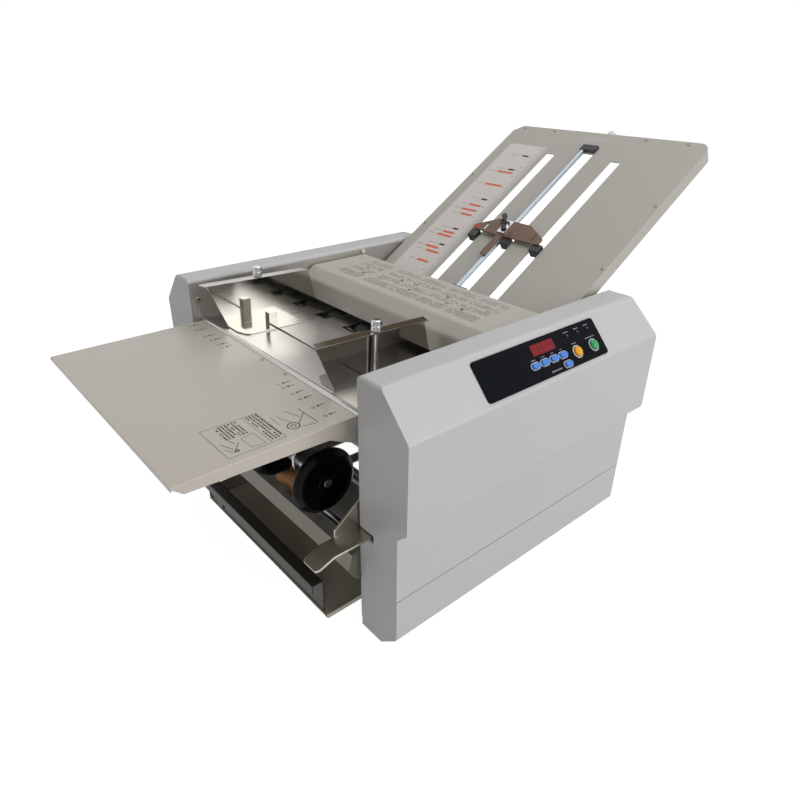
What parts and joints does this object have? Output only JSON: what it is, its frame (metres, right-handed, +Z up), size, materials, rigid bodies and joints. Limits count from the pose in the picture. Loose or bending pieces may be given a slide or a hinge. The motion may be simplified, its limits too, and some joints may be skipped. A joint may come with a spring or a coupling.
{
  "type": "paper folding machine",
  "caption": "Desktop paper folding machine: feed table and side guides, sloped slotted fold plate with sliding stop, fold rollers, stacker wheels and exit tray between moulded side covers.",
  "frame": {"origin": "centre of the bounding box seen from above, on the plane that the rubber feet stand on", "axes": "+X from the feed table towards the upper fold plate, +Y from the control side towards the drive side, +Z up"},
  "size_m": [0.8372, 0.52, 0.4931],
  "materials": {
    "cover_plastic": "fine satin texture",
    "frame_steel": "smooth satin",
    "table_coat": "fine powder coat",
    "plate_coat": "fine powder coat",
    "polished_sheet": "polished",
    "mirror_sheet": "mirror polished",
    "chrome_fitting": "polished",
    "shaft_steel": "ground",
    "dark_steel": "satin",
    "comb_steel": "satin",
    "bronze_steel": "satin",
    "black_plastic": "matte",
    "panel_film": "semi gloss",
    "display_film": "gloss",
    "key_blue": "gloss",
    "button_yellow": "gloss",
    "button_green": "gloss",
    "cream_plastic": "satin",
    "white_plastic": "satin",
    "red_plastic": "gloss",
    "black_rubber": "matte",
    "green_rubber": "satin",
    "tan_rubber": "matte",
    "grey_pad": "matte"
  },
  "bodies": {
    "frame": {"base_pan": "frame_steel", "near_frame": "frame_steel", "far_frame": "frame_steel", "near_cover": "cover_plastic", "far_cover": "cover_plastic", "plinths": "cover_plastic", "rubber_feet": "black_rubber", "tie_rods": "shaft_steel", "deck_plate": "polished_sheet", "feed_table": "table_coat", "screws": "shaft_steel", "locating_pins": "cream_plastic", "upper_plate": "plate_coat", "upper_plate_back": "plate_coat", "stop_rod": "chrome_fitting", "lower_plate": "plate_coat", "shaft_bearings": "shaft_steel", "exit_comb": "comb_steel", "drive_motor": "dark_steel", "drive_belt": "black_rubber", "power_inlet": "black_plastic", "control_panel": "panel_film", "display_window": "display_film"},
    "bridge": {"bridge_cover": "table_coat", "separator_pad": "grey_pad"},
    "near_guide": {"near_guide": "mirror_sheet"},
    "far_guide": {"far_guide": "mirror_sheet"},
    "near_knob": {"near_guide_knob": "chrome_fitting"},
    "far_knob": {"far_guide_knob": "chrome_fitting"},
    "fold_stop": {"stop_bar": "bronze_steel", "stop_blocks": "black_plastic", "stop_clamp": "chrome_fitting"},
    "wing_screw": {"clamp_wing": "black_plastic"},
    "trim_knob": {"trim_knob": "white_plastic"},
    "lower_stop": {"lower_stop": "black_plastic"},
    "roller_a": {"fold_roller_a": "green_rubber", "roller_shaft_a": "shaft_steel"},
    "roller_b": {"fold_roller_b": "green_rubber", "roller_shaft_b": "shaft_steel"},
    "roller_c": {"fold_roller_c": "green_rubber", "roller_shaft_c": "shaft_steel"},
    "roller_d": {"fold_roller_d": "green_rubber", "roller_shaft_d": "shaft_steel"},
    "feed": {"feed_shaft": "shaft_steel", "feed_tires": "black_rubber"},
    "exit_feed": {"exit_roller": "tan_rubber"},
    "stacker": {"exit_shaft": "shaft_steel", "exit_wheels": "black_rubber"},
    "motor_drive": {"motor_pulley": "shaft_steel"},
    "lever": {"release_lever": "polished_sheet"},
    "tray": {"exit_tray": "dark_steel", "tray_fence": "dark_steel"},
    "rocker": {"power_rocker": "red_plastic"},
    "count_key_1": {"count_key_1": "key_blue"},
    "count_key_2": {"count_key_2": "key_blue"},
    "count_key_3": {"count_key_3": "key_blue"},
    "count_key_4": {"count_key_4": "key_blue"},
    "set_key": {"set_key": "key_blue"},
    "stop_button": {"stop_button": "button_yellow"},
    "start_button": {"start_button": "button_green"}
  },
  "joints": [
    {"name": "bridge_hinge", "type": "hinge", "parent": "frame", "child": "bridge", "pos_m": [0.0524, 0, 0.307], "axis": [0, 1, 0], "range_deg": [0, 75]},
    {"name": "near_guide_slide", "type": "slide", "parent": "frame", "child": "near_guide", "axis": [0, 1, 0], "range_m": [-0.036, 0.06]},
    {"name": "far_guide_slide", "type": "slide", "parent": "frame", "child": "far_guide", "axis": [0, 1, 0], "range_m": [-0.06, 0.024]},
    {"name": "near_knob_turn", "type": "hinge", "parent": "near_guide", "child": "near_knob", "pos_m": [-0.15555, -0.116, 0.32876], "axis": [0.0349, 0, 0.9994], "range_deg": [0, 180]},
    {"name": "far_knob_turn", "type": "hinge", "parent": "far_guide", "child": "far_knob", "pos_m": [-0.15555, 0.138, 0.32876], "axis": [0.0349, 0, 0.9994], "range_deg": [0, 180]},
    {"name": "stop_slide", "type": "slide", "parent": "frame", "child": "fold_stop", "axis": [0.848, 0, 0.5299], "range_m": [-0.07, 0.185]},
    {"name": "wing_turn", "type": "hinge", "parent": "fold_stop", "child": "wing_screw", "pos_m": [0.18737, 0.0094, 0.37898], "axis": [-0.5299, 0, 0.848], "range_deg": [0, 120]},
    {"name": "trim_turn", "type": "hinge", "parent": "frame", "child": "trim_knob", "pos_m": [0.40701, -0.008, 0.48226], "axis": [0.848, 0, 0.5299], "continuous": true},
    {"name": "lower_stop_slide", "type": "slide", "parent": "frame", "child": "lower_stop", "axis": [0.6428, 0, -0.766], "range_m": [-0.045, 0.045]},
    {"name": "lever_pivot", "type": "hinge", "parent": "frame", "child": "lever", "pos_m": [-0.2206, -0.195, 0.145], "axis": [0, 1, 0], "range_deg": [-20, 0], "stiffness_Nm_per_rad": 0.3, "springref_deg": 20.05},
    {"name": "tray_slide", "type": "slide", "parent": "frame", "child": "tray", "axis": [-1, 0, 0], "range_m": [0, 0.06]},
    {"name": "roller_b_spin", "type": "hinge", "parent": "frame", "child": "roller_b", "pos_m": [0.03545, 0, 0.2413], "axis": [0, 1, 0], "continuous": true},
    {"name": "roller_a_spin", "type": "hinge", "parent": "frame", "child": "roller_a", "pos_m": [0.0194, 0, 0.267], "axis": [0, 1, 0], "continuous": true},
    {"name": "roller_c_spin", "type": "hinge", "parent": "frame", "child": "roller_c", "pos_m": [0.01224, 0, 0.22183], "axis": [0, 1, 0], "continuous": true},
    {"name": "roller_d_spin", "type": "hinge", "parent": "frame", "child": "roller_d", "pos_m": [0.02261, 0, 0.19335], "axis": [0, 1, 0], "continuous": true},
    {"name": "feed_spin", "type": "hinge", "parent": "frame", "child": "feed", "pos_m": [-0.05137, 0, 0.24608], "axis": [0, 1, 0], "continuous": true},
    {"name": "exit_feed_spin", "type": "hinge", "parent": "frame", "child": "exit_feed", "pos_m": [-0.2146, 0, 0.10118], "axis": [0, 1, 0], "continuous": true},
    {"name": "stacker_spin", "type": "hinge", "parent": "frame", "child": "stacker", "pos_m": [-0.2226, 0, 0.1559], "axis": [0, 1, 0], "continuous": true},
    {"name": "motor_spin", "type": "hinge", "parent": "frame", "child": "motor_drive", "pos_m": [0.0954, 0.2, 0.153], "axis": [0, 1, 0], "continuous": true},
    {"name": "count_key_1_press", "type": "slide", "parent": "frame", "child": "count_key_1", "axis": [0, 0.7361, -0.6769], "range_m": [0, 0.0012], "stiffness_N_per_m": 500, "springref_m": -0.0006},
    {"name": "count_key_2_press", "type": "slide", "parent": "frame", "child": "count_key_2", "axis": [0, 0.7361, -0.6769], "range_m": [0, 0.0012], "stiffness_N_per_m": 500, "springref_m": -0.0006},
    {"name": "count_key_3_press", "type": "slide", "parent": "frame", "child": "count_key_3", "axis": [0, 0.7361, -0.6769], "range_m": [0, 0.0012], "stiffness_N_per_m": 500, "springref_m": -0.0006},
    {"name": "count_key_4_press", "type": "slide", "parent": "frame", "child": "count_key_4", "axis": [0, 0.7361, -0.6769], "range_m": [0, 0.0012], "stiffness_N_per_m": 500, "springref_m": -0.0006},
    {"name": "set_key_press", "type": "slide", "parent": "frame", "child": "set_key", "axis": [0, 0.7361, -0.6769], "range_m": [0, 0.0012], "stiffness_N_per_m": 500, "springref_m": -0.0006},
    {"name": "stop_button_press", "type": "slide", "parent": "frame", "child": "stop_button", "axis": [0, 0.7361, -0.6769], "range_m": [0, 0.0012], "stiffness_N_per_m": 500, "springref_m": -0.0006},
    {"name": "start_button_press", "type": "slide", "parent": "frame", "child": "start_button", "axis": [0, 0.7361, -0.6769], "range_m": [0, 0.0012], "stiffness_N_per_m": 500, "springref_m": -0.0006},
    {"name": "rocker_tilt", "type": "hinge", "parent": "frame", "child": "rocker", "pos_m": [0.1824, 0.226, 0.244], "axis": [0, 1, 0], "range_deg": [-12, 0]}
  ],
  "couplings": [
    {"joint": "roller_a_spin", "follows": "roller_b_spin", "ratio": -1},
    {"joint": "roller_c_spin", "follows": "roller_b_spin", "ratio": -1},
    {"joint": "roller_d_spin", "follows": "roller_b_spin", "ratio": 1},
    {"joint": "feed_spin", "follows": "roller_b_spin", "ratio": -1},
    {"joint": "exit_feed_spin", "follows": "roller_b_spin", "ratio": 1},
    {"joint": "stacker_spin", "follows": "roller_b_spin", "ratio": -0.30952},
    {"joint": "motor_spin", "follows": "roller_b_spin", "ratio": 1.5}
  ]
}
